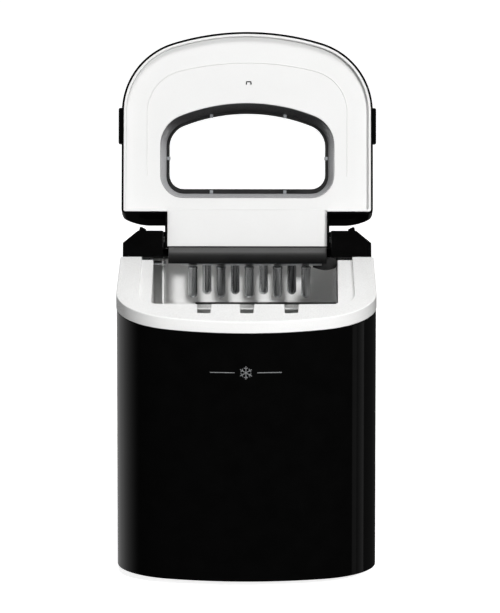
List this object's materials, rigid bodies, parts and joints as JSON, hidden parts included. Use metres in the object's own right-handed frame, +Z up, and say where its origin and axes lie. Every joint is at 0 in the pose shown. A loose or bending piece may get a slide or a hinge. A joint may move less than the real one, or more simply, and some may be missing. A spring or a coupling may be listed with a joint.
{
  "type": "countertop ice maker",
  "caption": "Bow-fronted countertop ice maker with a hinged windowed lid, finger evaporator, tilting water tray and lift-out ice basket.",
  "frame": {"origin": "middle of the footprint, on the surface the feet stand on", "axes": "+Z up, front towards -Y, +X to the right seen from the front"},
  "size_m": [0.2436, 0.3584, 0.4811],
  "materials": {
    "gloss_black": "high gloss black moulding",
    "satin_black": "satin black moulding",
    "white_abs": "white food-safe moulding",
    "clear_window": "clear moulded window",
    "grey_basket": "pale translucent moulding",
    "plated_finger": "nickel-plated",
    "steel": "plain steel",
    "galvanised": "galvanised sheet",
    "aluminium_fins": "mill finish",
    "copper": "copper tube",
    "rubber": "black rubber",
    "foam": "rigid foam",
    "grey_plastic": "grey moulding",
    "silver_key": "silver key cap",
    "dark_lens": "tinted lens",
    "board": "solder-masked board",
    "hose": "silicone hose",
    "compressor_paint": "black enamel"
  },
  "bodies": {
    "cabinet": {"base_pan": "galvanised", "capillary_tube": "copper", "compressor": "compressor_paint", "compressor_grommet_1": "rubber", "compressor_grommet_2": "rubber", "compressor_grommet_3": "rubber", "condenser": "aluminium_fins", "control_board": "board", "control_panel": "gloss_black", "cord_gland": "satin_black", "discharge_line": "copper", "drain_pipe": "hose", "evaporator_cover": "satin_black", "evaporator_finger_1": "plated_finger", "evaporator_finger_2": "plated_finger", "evaporator_finger_3": "plated_finger", "evaporator_finger_4": "plated_finger", "evaporator_finger_5": "plated_finger", "evaporator_finger_6": "plated_finger", "evaporator_finger_7": "plated_finger", "evaporator_finger_8": "plated_finger", "evaporator_finger_9": "plated_finger", "evaporator_loop": "steel", "fan_motor": "steel", "fan_shroud": "satin_black", "filter_drier": "copper", "foam_insulation": "foam", "foot_front_left": "rubber", "foot_front_right": "rubber", "foot_rear_left": "rubber", "foot_rear_right": "rubber", "hot_gas_valve": "satin_black", "ice_chute": "white_abs", "ice_sensor_emitter": "dark_lens", "ice_sensor_receiver": "dark_lens", "indicator_window": "dark_lens", "inner_tank": "white_abs", "outer_casing": "gloss_black", "pump_hose": "hose", "rear_housing": "gloss_black", "rear_panel": "satin_black", "suction_line": "copper", "terminal_cover": "satin_black", "tilt_gearmotor": "steel", "top_ring": "white_abs", "tray_bearing": "steel", "water_pump": "grey_plastic"},
    "lid": {"lid_shell": "gloss_black", "lid_liner": "white_abs", "lid_window": "clear_window", "lid_hinge_pin_left": "steel", "lid_hinge_pin_right": "steel"},
    "tilting_tray": {"water_tray": "white_abs", "tray_pivot_pin": "steel", "tray_drive_shaft": "steel"},
    "basket": {"ice_basket": "grey_basket"},
    "fan": {"fan_blade": "grey_plastic"},
    "power_key": {"power_button": "silver_key"},
    "select_key": {"select_button": "silver_key"},
    "drain_cap": {"drain_plug": "satin_black"}
  },
  "joints": [
    {"name": "lid_hinge", "type": "hinge", "parent": "cabinet", "child": "lid", "pos_m": [0, 0.016, 0.2912], "axis": [1, 0, 0], "range_deg": [0, 117]},
    {"name": "tray_tilt", "type": "hinge", "parent": "cabinet", "child": "tilting_tray", "pos_m": [0.0022, 0.004, 0.2711], "axis": [-1, 0, 0], "range_deg": [0, 88]},
    {"name": "basket_lift", "type": "slide", "parent": "cabinet", "child": "basket", "axis": [0, 0, 1], "range_m": [0, 0.07]},
    {"name": "fan_spin", "type": "hinge", "parent": "cabinet", "child": "fan", "pos_m": [0.06, 0.1, 0.104], "axis": [0, 1, 0], "continuous": true},
    {"name": "power_button_press", "type": "slide", "parent": "cabinet", "child": "power_key", "axis": [0, -0.2164, -0.9763], "range_m": [0, 0.0015], "stiffness_N_per_m": 400},
    {"name": "select_button_press", "type": "slide", "parent": "cabinet", "child": "select_key", "axis": [0, -0.2164, -0.9763], "range_m": [0, 0.0015], "stiffness_N_per_m": 400},
    {"name": "drain_cap_pull", "type": "slide", "parent": "cabinet", "child": "drain_cap", "axis": [-1, 0, 0], "range_m": [0, 0.03]}
  ]
}
